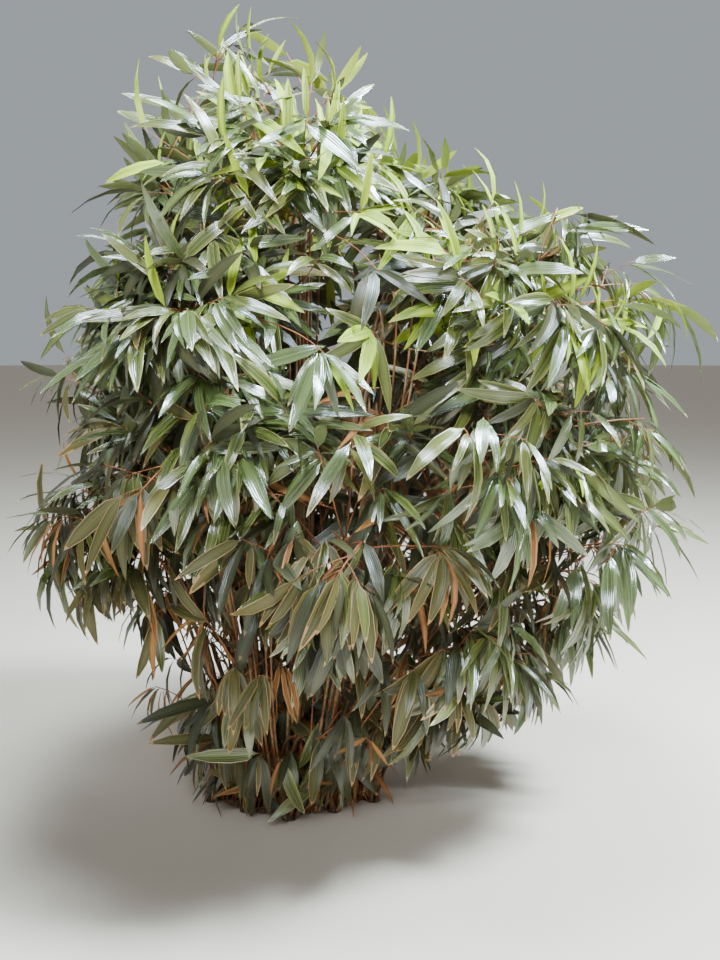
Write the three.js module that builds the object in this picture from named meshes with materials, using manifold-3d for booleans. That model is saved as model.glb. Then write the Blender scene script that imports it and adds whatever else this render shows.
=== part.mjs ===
// A clump of broad-leaved bamboo that grows from one low crown of fused culm bases. Slender culms rise
// from the crown, fan out and arch over, and each ends in a mass of leafy branches. Millimetres, +Z up.
// The origin is the middle of the crown's flat cut at ground level. The front of the clump faces -Y,
// and its foliage leans towards +X.
import * as THREE from 'three';
import { mergeVertices } from 'three/addons/utils/BufferGeometryUtils.js';
import Module from 'manifold-3d';

const wasm = await Module();
wasm.setup();

// Clearance between pieces that meet face to face
const CLEARANCE = 0.3;

// After pieces are fused, corners are set on a grid this fine. A mass that this opens, or that holds a
// face narrower than a sliver, is grown again from the next seed, at most so many times.
const CORNER_GRID = 0.02;
const SLIVER_WIDTH = 0.01;
const MOST_ATTEMPTS = 80;

// The crown of culm bases: how far the outermost culms stand from the middle, to the sides and to the
// front, and the flare under each
const CROWN_RADIUS = 290;
const CROWN_DEPTH = 210;
const KNUCKLE_HEIGHT = 38;
const KNUCKLE_FOOT_RADIUS = 30;
const KNUCKLE_NECK_RADIUS = 9;
const KNUCKLE_SIDES = 5;
const RHIZOME_RADIUS = 15;
const RHIZOME_SIDES = 4;

// Culms and twigs: radii at the foot, where the foliage starts, and at the twigs' tips
const CULM_FOOT_RADIUS = 7;
const CULM_TOP_RADIUS = 5;
const CULM_SIDES = 6;
const CULM_STEPS = 5;
const STEM_TIP_RADIUS = 3;
const STEM_STEPS = 4;
const BRANCH_RADIUS = 3.4;
const BRANCH_TIP_RADIUS = 2.4;
const TWIG_SIDES = 3;

// One leaf: a long pointed blade, widest nearer its foot, arched over its length
const LEAF_LENGTH = 380;
const LEAF_WIDTH = 92;
const LEAF_THICKNESS = 5;
const LEAF_WIDEST_AT = 0.4;
const LEAF_ARCH = 0.07;
const LEAF_LENGTH_SPREAD = 0.22;

// A branch or leaf that leaves its mass's space is tried again at each of these shares of its length
const SHORTENINGS = [1, 0.75, 0.5];

// How the foliage grows: branches along a mass's stem, and leaves along each branch
const BRANCHES = 4;
const BRANCH_LENGTH = 270;
const BRANCH_ANGLE = THREE.MathUtils.degToRad(56);
const BRANCH_TURN = THREE.MathUtils.degToRad(137.5);
const LEAVES_PER_SPRAY = 4;
const SPRAY_START = 0.45;
const WIDEST_LEAF_ANGLE = THREE.MathUtils.degToRad(72);
const NARROWEST_LEAF_ANGLE = THREE.MathUtils.degToRad(8);

// Room that a mass leaves to its neighbours, to culms, to the ground and inside its own edge
const CELL_GAP = 3;
const LIMB_ROOM = 4;
const GROUND_ROOM = 12;
const STEM_MARGIN = 25;

// The outline of the foliage: how far it reaches from the crown's middle at each height
const OUTLINE = [
  { height: 0, left: 360, right: 340, depth: 260 },
  { height: 250, left: 500, right: 610, depth: 480 },
  { height: 550, left: 650, right: 1190, depth: 760 },
  { height: 1050, left: 900, right: 1390, depth: 970 },
  { height: 1650, left: 790, right: 1320, depth: 900 },
  { height: 1850, left: 720, right: 1160, depth: 810 },
  { height: 2050, left: 640, right: 740, depth: 680 },
  { height: 2220, left: 570, right: 420, depth: 560 },
  { height: 2420, left: 470, right: 300, depth: 430 },
  { height: 2620, left: 230, right: 160, depth: 210 },
];

// Rings of culms, from the outermost and lowest to the innermost and highest. first is the direction of
// a ring's first culm in degrees. ring is the share of the crown's radius that the ring stands at. tip
// and reach say where each stem ends, by height and by share of the outline, and spread is how much
// higher or lower a stem may end.
const TIERS = [
  { name: 'skirt', culms: 5, first: -90, ring: 1, tip: 300, reach: 0.62, spread: 30 },
  { name: 'lower', culms: 5, first: -54, ring: 0.86, tip: 640, reach: 0.74, spread: 60 },
  { name: 'waist', culms: 5, first: -90, ring: 0.72, tip: 980, reach: 0.78, spread: 60 },
  { name: 'middle', culms: 5, first: -54, ring: 0.56, tip: 1330, reach: 0.78, spread: 60 },
  { name: 'shoulder', culms: 4, first: -45, ring: 0.42, tip: 1690, reach: 0.74, spread: 60 },
  { name: 'upper', culms: 3, first: -90, ring: 0.28, tip: 2040, reach: 0.66, spread: 40 },
  { name: 'top', culms: 2, first: -160, ring: 0.12, tip: 2390, reach: 0.42, spread: 30 },
];

// How each ring bears its foliage: lift raises the branches, and droop lets the leaves hang
const HABITS = {
  skirt: { lift: -0.3, droop: 1.4 },
  lower: { lift: 0, droop: 1.2 },
  waist: { lift: 0.1, droop: 1 },
  middle: { lift: 0.2, droop: 0.8 },
  shoulder: { lift: 0.3, droop: 0.6 },
  upper: { lift: 0.4, droop: 0.4 },
  top: { lift: 0.5, droop: 0 },
};

// The point that a culm arches over: its share of the way out to the tip, and of the tip's height
const BEND_OUT = 0.32;
const BEND_UP = 0.95;

const UP = new THREE.Vector3(0, 0, 1);

const CULM_MATERIAL = new THREE.MeshStandardMaterial({ color: 0xa8683c, roughness: 0.7, metalness: 0 });
const CROWN_MATERIAL = new THREE.MeshStandardMaterial({ color: 0x6b4a30, roughness: 0.9, metalness: 0 });
const LEAF_MATERIALS = {
  skirt: new THREE.MeshStandardMaterial({ color: 0x55622f, roughness: 0.6, metalness: 0 }),
  lower: new THREE.MeshStandardMaterial({ color: 0x566433, roughness: 0.6, metalness: 0 }),
  waist: new THREE.MeshStandardMaterial({ color: 0x4f6636, roughness: 0.55, metalness: 0 }),
  middle: new THREE.MeshStandardMaterial({ color: 0x5b7a44, roughness: 0.5, metalness: 0 }),
  shoulder: new THREE.MeshStandardMaterial({ color: 0x64834a, roughness: 0.5, metalness: 0 }),
  upper: new THREE.MeshStandardMaterial({ color: 0x6c8b49, roughness: 0.5, metalness: 0 }),
  top: new THREE.MeshStandardMaterial({ color: 0x86a04c, roughness: 0.5, metalness: 0 }),
};

// A seeded row of numbers from 0 to 1, the same on every build
function seededNumbers(seed) {
  const multiplier = 48271;
  const modulus = 2147483647;
  const warmUp = 5;
  let state = seed;
  const next = () => {
    state = (state * multiplier) % modulus;
    return state / modulus;
  };
  for (let i = 0; i < warmUp; i += 1) next();
  return next;
}

// The middle, half-width and half-depth of the foliage's outline at a height
function outlineAt(height) {
  const last = OUTLINE.length - 1;
  const clamped = THREE.MathUtils.clamp(height, 0, OUTLINE[last].height);
  const upper = Math.max(1, OUTLINE.findIndex((row) => row.height >= clamped));
  const [below, above] = [OUTLINE[upper - 1], OUTLINE[upper]];
  const share = (clamped - below.height) / (above.height - below.height);
  const between = (key) => THREE.MathUtils.lerp(below[key], above[key], share);
  const [left, right] = [between('left'), between('right')];
  return { middle: (right - left) / 2, halfWidth: (right + left) / 2, halfDepth: between('depth') };
}

function isInsideOutline(point) {
  if (point.z < GROUND_ROOM || point.z > OUTLINE[OUTLINE.length - 1].height) return false;
  const { middle, halfWidth, halfDepth } = outlineAt(point.z);
  return Math.hypot((point.x - middle) / halfWidth, point.y / halfDepth) <= 1;
}

// The curve of one culm with the stem that carries on from it, from the crown to the stem's tip
function culmCurve(tier, index) {
  const random = seededNumbers(tier.tip + index);
  const azimuth = THREE.MathUtils.degToRad(tier.first + (360 * index) / tier.culms);
  const [out, across] = [Math.cos(azimuth), Math.sin(azimuth)];
  const height = tier.tip + tier.spread * (2 * random() - 1);
  const { middle, halfWidth, halfDepth } = outlineAt(height);
  const foot = new THREE.Vector3(
    out * CROWN_RADIUS * tier.ring,
    across * CROWN_DEPTH * tier.ring,
    KNUCKLE_HEIGHT + CLEARANCE,
  );
  const tip = new THREE.Vector3(
    middle + out * halfWidth * tier.reach,
    across * halfDepth * tier.reach,
    height,
  );
  const bend = foot.clone().lerp(tip, BEND_OUT).setZ(height * BEND_UP);
  return new THREE.QuadraticBezierCurve3(foot, bend, tip);
}

// Every culm of the clump, with the point that its mass of foliage gathers round
function allCulms() {
  const siteAt = 0.8;
  return TIERS.flatMap((tier, ring) =>
    Array.from({ length: tier.culms }, (_, index) => {
      const curve = culmCurve(tier, index);
      return {
        name: `${tier.name}_${index + 1}`,
        tier,
        seed: 100 * (ring + 1) + index,
        curve,
        site: curve.getPoint(siteAt),
      };
    }),
  );
}

// A mass's own space: nearer to its own site than to any other, with a gap along each border
function isInCell(point, culm, culms, margin) {
  return culms.every((other) => {
    if (other === culm) return true;
    const apart = other.site.clone().sub(culm.site);
    const border = apart.length() / 2 - CELL_GAP / 2 - margin;
    return point.clone().sub(culm.site).dot(apart.normalize()) <= border;
  });
}

// Where along its curve a culm enters its own mass for good
function entryOf(culm, culms) {
  const steps = 100;
  const earliest = 40;
  let entry = steps;
  while (entry > earliest && isInCell(culm.curve.getPoint((entry - 1) / steps), culm, culms, STEM_MARGIN)) {
    entry -= 1;
  }
  return entry / steps;
}

// A closed solid from a three.js geometry, with its shared corners merged
function solidOf(geometry) {
  geometry.deleteAttribute('normal');
  geometry.deleteAttribute('uv');
  const merged = mergeVertices(geometry, 1e-3);
  return new wasm.Manifold(
    new wasm.Mesh({
      numProp: 3,
      vertProperties: merged.attributes.position.array,
      triVerts: new Uint32Array(merged.index.array),
    }),
  );
}

// Moves each corner of a geometry to where place sends it
function reshaped(geometry, place) {
  const positions = geometry.attributes.position;
  for (let i = 0; i < positions.count; i += 1) {
    const corner = new THREE.Vector3().fromBufferAttribute(positions, i);
    const moved = place(corner);
    positions.setXYZ(i, moved.x, moved.y, moved.z);
  }
  return geometry;
}

// A tapering limb along a stretch of a curve. Its first end is cut level where levelFoot asks for it.
function limbGeometry(curve, from, to, footRadius, tipRadius, sides, steps, levelFoot = false) {
  const tube = new THREE.CylinderGeometry(1, 1, 1, sides, steps);
  return reshaped(tube, (corner) => {
    const share = corner.y + 0.5;
    const at = THREE.MathUtils.lerp(from, to, share);
    const tangent = curve.getTangent(at);
    const side = new THREE.Vector3(-tangent.y, tangent.x, 0).normalize();
    const along = levelFoot && share === 0 ? UP : tangent;
    const other = along.clone().cross(side);
    const radius = THREE.MathUtils.lerp(footRadius, tipRadius, share);
    return curve
      .getPoint(at)
      .addScaledVector(side, -corner.x * radius)
      .addScaledVector(other, corner.z * radius);
  });
}

// A leaf: an octahedron drawn out into a blade, with its belt moved towards the foot and arched up
function leafGeometry(leaf) {
  const across = leaf.normal.clone().cross(leaf.direction);
  return reshaped(new THREE.OctahedronGeometry(1), (corner) => {
    const isBelt = Math.abs(corner.x) < 0.5;
    const along = isBelt ? LEAF_WIDEST_AT : (corner.x + 1) / 2;
    const lift = isBelt ? LEAF_ARCH * leaf.length : 0;
    return leaf.foot
      .clone()
      .addScaledVector(leaf.direction, along * leaf.length)
      .addScaledVector(across, (corner.y * leaf.width) / 2)
      .addScaledVector(leaf.normal, (corner.z * LEAF_THICKNESS) / 2 + lift);
  });
}

function shortened(leaf, share) {
  return { ...leaf, length: leaf.length * share, width: leaf.width * share };
}

function cornersOf(geometry) {
  const positions = geometry.attributes.position;
  return Array.from({ length: positions.count }, (_, i) =>
    new THREE.Vector3().fromBufferAttribute(positions, i),
  );
}

// The culms as short straight pieces, to keep leaves and twigs off them
function culmSegments(culms) {
  const pieces = 16;
  return culms.flatMap((culm) =>
    Array.from({ length: pieces }, (_, i) => {
      const [from, to] = [i, i + 1].map((step) => culm.curve.getPoint((culm.entry * step) / pieces));
      return new THREE.Line3(from, to);
    }),
  );
}

// True if a straight strip from foot to tip, as wide as reach either side, keeps clear of every culm
function isClearOfCulms(foot, tip, reach, segments) {
  const samples = 8;
  const room = reach + CULM_FOOT_RADIUS + LIMB_ROOM;
  const nearest = new THREE.Vector3();
  for (let i = 0; i <= samples; i += 1) {
    const sample = foot.clone().lerp(tip, i / samples);
    for (const segment of segments) {
      segment.closestPointToPoint(sample, true, nearest);
      if (nearest.distanceTo(sample) < room) return false;
    }
  }
  return true;
}

// The leaves of one spray: alternate sides of a branch, spreading widest at its foot, drooping by weight
function sprayLeaves(branch, droop, random) {
  const level = UP.clone().addScaledVector(branch.direction, -UP.dot(branch.direction)).normalize();
  const side = branch.direction.clone().cross(level);
  return Array.from({ length: LEAVES_PER_SPRAY }, (_, i) => {
    const share = i / (LEAVES_PER_SPRAY - 1);
    const angle = THREE.MathUtils.lerp(WIDEST_LEAF_ANGLE, NARROWEST_LEAF_ANGLE, share);
    const hand = i % 2 === 0 ? 1 : -1;
    const direction = branch.direction
      .clone()
      .multiplyScalar(Math.cos(angle))
      .addScaledVector(side, hand * Math.sin(angle))
      .addScaledVector(UP, -droop * (0.6 + 0.6 * random()))
      .normalize();
    const outwards = new THREE.Vector3(branch.foot.x, branch.foot.y, 0).normalize();
    const normal = outwards
      .addScaledVector(UP, 0.7)
      .addScaledVector(side, 0.6 * (random() - 0.5));
    normal.addScaledVector(direction, -normal.dot(direction)).normalize();
    const size = 1 + LEAF_LENGTH_SPREAD * (2 * random() - 1);
    const at = THREE.MathUtils.lerp(SPRAY_START, 0.97, share);
    return {
      foot: branch.foot.clone().lerp(branch.tip, at),
      direction,
      normal,
      length: LEAF_LENGTH * size,
      width: LEAF_WIDTH * size,
    };
  });
}

// One branch of a mass's stem, shortened until it keeps to the mass's own space, or none
function branchOf(culm, index, firstTurn, fits) {
  const share = (index + 0.5) / BRANCHES;
  const at = THREE.MathUtils.lerp(culm.entry, 1, 0.08 + 0.86 * share);
  const foot = culm.curve.getPoint(at);
  const along = culm.curve.getTangent(at);
  const aside = new THREE.Vector3(-along.y, along.x, 0).normalize();
  aside.applyAxisAngle(along, firstTurn + BRANCH_TURN * index);
  const direction = along
    .clone()
    .multiplyScalar(Math.cos(BRANCH_ANGLE))
    .addScaledVector(aside, Math.sin(BRANCH_ANGLE))
    .addScaledVector(UP, HABITS[culm.tier.name].lift)
    .normalize();
  for (const shortening of SHORTENINGS) {
    const length = BRANCH_LENGTH * shortening * (1.1 - 0.35 * share);
    const tip = foot.clone().addScaledVector(direction, length);
    if (fits(foot, tip, BRANCH_RADIUS)) return { foot, tip, direction };
  }
  return null;
}

// A mass of foliage: a stem that carries the culm on, its branches, and their leaves, as one solid
function massSolid(culm, culms, segments, random) {
  const fitsPoint = (point, margin) => isInsideOutline(point) && isInCell(point, culm, culms, margin);
  const fits = (foot, tip, reach) =>
    fitsPoint(tip, reach) && fitsPoint(foot, 0) && isClearOfCulms(foot, tip, reach, segments);

  const leafFits = (leaf) => {
    const tip = leaf.foot.clone().addScaledVector(leaf.direction, leaf.length);
    return (
      cornersOf(leafGeometry(leaf)).every((corner) => fitsPoint(corner, 0)) &&
      isClearOfCulms(leaf.foot, tip, leaf.width / 2, segments)
    );
  };

  const gapShare = CLEARANCE / culm.curve.getLength();
  const parts = [
    limbGeometry(
      culm.curve,
      culm.entry + gapShare,
      1,
      CULM_TOP_RADIUS,
      STEM_TIP_RADIUS,
      TWIG_SIDES,
      STEM_STEPS,
    ),
  ];
  const nearTip = 0.9;
  const leader = {
    foot: culm.curve.getPoint(nearTip),
    tip: culm.curve.getPoint(1),
    direction: culm.curve.getTangent(1),
  };
  const firstTurn = 2 * Math.PI * random();
  const branches = Array.from({ length: BRANCHES }, (_, i) => branchOf(culm, i, firstTurn, fits))
    .filter(Boolean);
  for (const branch of branches) {
    const line = new THREE.LineCurve3(branch.foot, branch.tip);
    parts.push(limbGeometry(line, 0, 1, BRANCH_RADIUS, BRANCH_TIP_RADIUS, TWIG_SIDES, 1));
  }
  for (const branch of [...branches, leader]) {
    for (const leaf of sprayLeaves(branch, HABITS[culm.tier.name].droop, random)) {
      const fitting = SHORTENINGS.map((share) => shortened(leaf, share)).find(leafFits);
      if (fitting) parts.push(leafGeometry(fitting));
    }
  }
  return wasm.Manifold.union(parts.map(solidOf)).simplify(CORNER_GRID);
}

// The crown: a flared knuckle under each culm, joined to the one before it by a rhizome cut at the ground
function crownSolid(culms) {
  const neck = [
    [0, 0],
    [KNUCKLE_FOOT_RADIUS, 0],
    [KNUCKLE_FOOT_RADIUS * 0.5, KNUCKLE_HEIGHT * 0.42],
    [KNUCKLE_NECK_RADIUS, KNUCKLE_HEIGHT],
    [0, KNUCKLE_HEIGHT],
  ];
  const feet = [new THREE.Vector3(), ...culms.map((culm) => culm.curve.v0.clone().setZ(0))];
  const profile = neck.map(([radius, height]) => new THREE.Vector2(radius, height));
  const knuckles = feet.map((foot) =>
    new THREE.LatheGeometry(profile, KNUCKLE_SIDES).rotateX(Math.PI / 2).translate(foot.x, foot.y, 0),
  );
  const rhizomes = feet.slice(1).map((foot, index) => {
    const inner = feet.filter((other, i) => i !== index + 1 && other.length() < foot.length() - 1);
    const nearest = inner.reduce((best, other) =>
      other.distanceTo(foot) < best.distanceTo(foot) ? other : best,
    );
    const line = new THREE.LineCurve3(foot.clone(), nearest.clone());
    return limbGeometry(line, 0, 1, RHIZOME_RADIUS, RHIZOME_RADIUS, RHIZOME_SIDES, 1);
  });
  const whole = wasm.Manifold.union([...knuckles, ...rhizomes].map(solidOf));
  const depth = 200;
  const ground = new THREE.BoxGeometry(4 * CROWN_RADIUS, 4 * CROWN_RADIUS, depth).translate(0, 0, -depth / 2);
  return whole.subtract(solidOf(ground)).simplify(CORNER_GRID);
}

// The largest body of a solid as a geometry with its corners on the grid and collapsed faces dropped
function geometryOf(solid) {
  const bodies = solid.decompose().sort((a, b) => b.volume() - a.volume());
  const { numProp, vertProperties, triVerts } = bodies[0].getMesh();
  const indices = new Map();
  const positions = [];
  const corners = Array.from(triVerts, (vertex) => {
    const start = vertex * numProp;
    const place = Array.from(vertProperties.subarray(start, start + 3));
    const steps = place.map((value) => Math.round(value / CORNER_GRID));
    const key = steps.join();
    if (!indices.has(key)) {
      indices.set(key, indices.size);
      positions.push(...steps.map((count) => count * CORNER_GRID));
    }
    return indices.get(key);
  });
  const faces = [];
  for (let i = 0; i < corners.length; i += 3) {
    const [a, b, c] = corners.slice(i, i + 3);
    if (a !== b && b !== c && a !== c) faces.push(a, b, c);
  }
  return new THREE.BufferGeometry()
    .setAttribute('position', new THREE.Float32BufferAttribute(positions, 3))
    .setIndex(faces);
}

// True if each edge of a geometry belongs to exactly two of its faces
function isClosed(geometry) {
  const corners = geometry.index.array;
  const uses = new Map();
  for (let i = 0; i < corners.length; i += 1) {
    const next = i % 3 === 2 ? i - 2 : i + 1;
    const edge = [corners[i], corners[next]].sort((a, b) => a - b).join();
    uses.set(edge, (uses.get(edge) ?? 0) + 1);
  }
  return [...uses.values()].every((count) => count === 2);
}

// True if a geometry has a face that is narrower than a sliver
function hasSliver(geometry) {
  const corners = cornersOf(geometry);
  const indices = geometry.index.array;
  for (let i = 0; i < indices.length; i += 3) {
    const face = new THREE.Triangle(...[0, 1, 2].map((k) => corners[indices[i + k]]));
    const { a, b, c } = face;
    const longest = Math.max(a.distanceTo(b), b.distanceTo(c), c.distanceTo(a));
    if ((2 * face.getArea()) / longest < SLIVER_WIDTH) return true;
  }
  return false;
}

function massGeometry(culm, culms, segments) {
  for (let attempt = 0; attempt < MOST_ATTEMPTS; attempt += 1) {
    const random = seededNumbers(culm.seed + 1000 * attempt);
    const geometry = geometryOf(massSolid(culm, culms, segments, random));
    if (isClosed(geometry) && !hasSliver(geometry)) return geometry;
  }
  throw new Error(`foliage_${culm.name} isn't closed`);
}

function namedMesh(name, geometry, material) {
  const mesh = new THREE.Mesh(geometry, material);
  mesh.name = name;
  return mesh;
}

function bambooClump() {
  const clump = new THREE.Group();
  const culms = allCulms();
  for (const culm of culms) culm.entry = entryOf(culm, culms);
  const segments = culmSegments(culms);
  clump.add(namedMesh('root_crown', geometryOf(crownSolid(culms)), CROWN_MATERIAL));
  for (const culm of culms) {
    const limb = limbGeometry(
      culm.curve,
      0,
      culm.entry,
      CULM_FOOT_RADIUS,
      CULM_TOP_RADIUS,
      CULM_SIDES,
      CULM_STEPS,
      true,
    );
    clump.add(namedMesh(`culm_${culm.name}`, geometryOf(solidOf(limb)), CULM_MATERIAL));
    const foliage = massGeometry(culm, culms, segments);
    clump.add(namedMesh(`foliage_${culm.name}`, foliage, LEAF_MATERIALS[culm.tier.name]));
  }
  return clump;
}

export default bambooClump();
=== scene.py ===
"""The looks of a clump of broad-leaved bamboo: its crown, canes, twigs and about ten thousand leaves.

The foliage grows by the same rule as the solids' own masses, carried to finer twigs inside the same
outline. Metres, +Z up. The front faces -Y and the clump leans towards +X.
"""

import math

import bpy
import numpy as np
from mathutils import Matrix, Vector


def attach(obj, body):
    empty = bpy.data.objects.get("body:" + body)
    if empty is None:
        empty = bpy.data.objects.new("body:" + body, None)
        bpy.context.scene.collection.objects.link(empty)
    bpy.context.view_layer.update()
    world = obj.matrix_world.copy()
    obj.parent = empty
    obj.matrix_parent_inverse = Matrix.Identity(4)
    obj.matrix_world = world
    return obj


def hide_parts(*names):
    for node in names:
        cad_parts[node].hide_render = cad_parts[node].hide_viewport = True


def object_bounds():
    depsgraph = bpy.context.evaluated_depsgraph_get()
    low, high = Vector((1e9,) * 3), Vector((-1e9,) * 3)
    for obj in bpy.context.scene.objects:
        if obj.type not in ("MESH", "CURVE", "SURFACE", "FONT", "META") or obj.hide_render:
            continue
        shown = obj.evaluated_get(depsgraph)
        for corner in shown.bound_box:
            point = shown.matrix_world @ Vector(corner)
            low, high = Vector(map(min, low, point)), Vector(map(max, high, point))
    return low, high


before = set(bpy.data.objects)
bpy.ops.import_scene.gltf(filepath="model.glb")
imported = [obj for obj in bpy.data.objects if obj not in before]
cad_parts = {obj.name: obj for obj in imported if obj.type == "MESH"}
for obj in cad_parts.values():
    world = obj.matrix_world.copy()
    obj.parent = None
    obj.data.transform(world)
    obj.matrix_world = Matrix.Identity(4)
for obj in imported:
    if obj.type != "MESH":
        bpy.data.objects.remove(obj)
cad_low, cad_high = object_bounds()

UP = Vector((0, 0, 1))

# The outline of the foliage: height, and the reach to the left, the right and the front there
OUTLINE = np.array((
    (0.00, 0.36, 0.34, 0.26),
    (0.25, 0.50, 0.61, 0.48),
    (0.55, 0.65, 1.19, 0.76),
    (1.05, 0.90, 1.39, 0.97),
    (1.65, 0.79, 1.32, 0.90),
    (1.85, 0.72, 1.16, 0.81),
    (2.05, 0.64, 0.74, 0.68),
    (2.22, 0.57, 0.42, 0.56),
    (2.42, 0.47, 0.30, 0.43),
    (2.62, 0.23, 0.16, 0.21),
))

# How far leaves may go: as a share of the outline's reach, past the solids' own box, and down
FURTHEST_LEAF = 1.1
BOX_ROOM = 0.045
GROUND_ROOM = 0.012

# Rings of culms from the outermost to the innermost, as in the solids. first is the azimuth of the first
# culm, ring its share of the crown, tip the height of the tips, and reach how far out they are.
TIERS = (
    dict(name="skirt", culms=5, first=-90, ring=1, tip=0.3, reach=0.62, spread=0.03),
    dict(name="lower", culms=5, first=-54, ring=0.86, tip=0.64, reach=0.74, spread=0.06),
    dict(name="waist", culms=5, first=-90, ring=0.72, tip=0.98, reach=0.78, spread=0.06),
    dict(name="middle", culms=5, first=-54, ring=0.56, tip=1.33, reach=0.78, spread=0.06),
    dict(name="shoulder", culms=4, first=-45, ring=0.42, tip=1.69, reach=0.74, spread=0.06),
    dict(name="upper", culms=3, first=-90, ring=0.28, tip=2.04, reach=0.66, spread=0.04),
    dict(name="top", culms=2, first=-160, ring=0.12, tip=2.39, reach=0.42, spread=0.03),
)

# Where a culm bends on its way out and up, and where along it its mass gathers
BEND_OUT = 0.32
BEND_UP = 0.95
SITE_AT = 0.8

# The crown, and the room that the solids leave between a culm, its knuckle and its mass
CROWN_RADIUS = 0.29
CROWN_DEPTH = 0.21
KNUCKLE_HEIGHT = 0.038
CLEARANCE = 0.0003
CELL_GAP = 0.003
STEM_MARGIN = 0.025

# How each ring bears its foliage. lift raises branches and droop lets leaves hang, as in the solids.
# branches is how many a stem bears, ends how deep and far out they end, leaves the fewest and most in a
# spray, and shoots the share of sprays with a young upright leaf.
HABITS = {
    "skirt": dict(lift=-0.3, droop=1.4, branches=15, ends=(0.2, 0.72), leaves=(4, 8), shoots=0.0),
    "lower": dict(lift=0.0, droop=1.2, branches=14, ends=(0.4, 0.86), leaves=(5, 9), shoots=0.0),
    "waist": dict(lift=0.1, droop=1.0, branches=19, ends=(0.6, 0.98), leaves=(5, 9), shoots=0.0),
    "middle": dict(lift=0.2, droop=0.8, branches=21, ends=(0.62, 1.01), leaves=(5, 9), shoots=0.12),
    "shoulder": dict(lift=0.3, droop=0.6, branches=22, ends=(0.6, 1.01), leaves=(5, 9), shoots=0.25),
    "upper": dict(lift=0.4, droop=0.4, branches=16, ends=(0.42, 0.92), leaves=(4, 8), shoots=0.35),
    "top": dict(lift=0.5, droop=0.0, branches=5, ends=(0.2, 0.7), leaves=(3, 5), shoots=0.6),
}

# Where each kind of growth starts its seeded numbers
BARE_SEED = 5000
LOW_SEED = 6000
MASS_SEED = 7000
CANE_SEED = 9000
HOLLOW_SEED = 9900

# The angle between one branch and the next that spreads them evenly
GOLDEN_TURN = math.radians(137.5)

# Branches along a mass's stem. Their reaches are tried in turn.
STEM_TIP_RADIUS = 0.0026
BRANCH_RADIUS = 0.003
BRANCH_ANGLE = math.radians(56)
FIRST_BRANCH = 0.02
BRANCH_SPAN = 0.95
BRANCH_REACHES = (0.48, 0.42, 0.36, 0.3, 0.24, 0.18, 0.12)
BRANCH_VARIES = (0.6, 1)
BRANCH_SAG = 0.06
BRANCH_SPRAY_FROM = 0.6
STEM_SPRAY_FROM = 0.9

# Side twigs along each branch
TWIG_RADIUS = 0.002
TWIG_TIP_RADIUS = 0.0013
SIDE_TWIG_AT = (0.4, 0.64, 0.84)
NEAREST_FORK = 0.05
SIDE_TWIG_ANGLE = math.radians(50)
SIDE_TWIG_TURN = 1.6
SIDE_TWIG_RISE = 0.7
SIDE_TWIG_LENGTH = 0.17
SIDE_TWIG_VARIES = (0.5, 1.25)
SIDE_TWIG_SAG = 0.05
SHORT_TWIG = 0.07
CELL_OVERLAP = 0.06

# Branches reach less far near the border of their mass's space, which leaves clefts
CLEFT_SHARE = 0.2
CLEFT_WIDTH = 0.12

# Hollows of the front, where no twig ends and the canes behind show: their middles and radii
HOLLOWS = (
    (0.45, -0.72, 1.46, 0.15),
    (0.29, -0.80, 1.18, 0.13),
    (-0.33, -0.66, 1.30, 0.13),
    (-0.05, -0.55, 0.52, 0.13),
)

# Some twigs are left out on the far right and towards the top, so that light shows through
AIRY_FROM = 0.72
AIRY_SHARE = 0.2
THIN_TOP_FROM = 2.1
THIN_TOP_DEPTH = 0.9

# Bare places that get a branch of their own, as no spray ends within BARE_ROOM of them
BARE_TRIALS = 700
BARE_HEIGHTS = (0.25, 2.25)
BARE_REACHES = (0.66, 0.86)
BARE_ROOM = 0.155
RISING_TWIG = 0.36
LAST_FORK = 0.98
BARE_LEAN = 0.8
BARE_SPRAY = 0.12

# The last stretch of the twigs to bare places and of the low shoots runs along their sprays
SHOOT_END = 0.22

# Leafy shoots round the foot, from the inside of the crown. They reach less far on the right.
LOW_SHOOTS = 104
LOW_HEIGHTS = (0.1, 0.68)
LOW_REACHES = (0.4, 0.86)
LOW_RISES = (-0.3, 0.5)
LOW_FOOT = 0.9
LOW_FOOT_HEIGHT = 0.005
LOW_SPRAY = 0.1
RIGHTWARDS = 0.3
SHORTER_RIGHTWARDS = 0.8

# Leaves along one spray: their part of its twig, their angles to it, and how they turn about it
LEAFY_PART = (0.62, 1.0)
LEAF_ANGLES = (math.radians(76), math.radians(6))
LEAF_ROLL = math.radians(50)
SPRAY_ROLL = math.radians(100)
LEAF_TILT = 1.2
FACING_UP = 0.7
SLIGHTLY = (0.85, 1.15)

# How leaves hang, further than the large ones of the solids
LEAF_WEIGHT = 1.5
LEAST_HANG = 0.1
SPRAY_DROOPS = (0.3, 1.15)
HANG_ALONG = (1.5, 0.5)
HANG_VARIES = (0.75, 1.25)

# Where there is no room a leaf hangs by less of its weight, and then it is cut down
LIGHTER_TRIALS = (1, 0.5, 0.1)
CUT_LENGTH = 0.75
CUT_WIDTH = 0.8

# Sprays further in than this share of the outline's reach have the fewest leaves
SPARSE_INSIDE = 0.5

# Sizes of leaves. Dry ones have shrunk.
LEAF_LENGTH = 0.178
LENGTH_VARIES = (0.66, 1.42)
LEAF_SLENDERNESS = 0.165
WIDTH_VARIES = (0.85, 1.2)
DRY_WIDTH = 0.6
LEAF_ARCHES = (0.3, 1.15)
LEAF_TWIST = 0.6
LEAF_FOLDS = (0.08, 0.4)

# Young leaves that still stand upright. More grow in the sun, where their lime also paints the glow of
# leaves lit from behind
SHOOTS_IN_SUN = 1.6
SHOOTS_IN_SHADE = 0.5
UPRIGHT_LEAF = dict(forward=0.6, outward=0.5, facing_up=0.2, narrower=0.85, fold=0.6)

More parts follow.
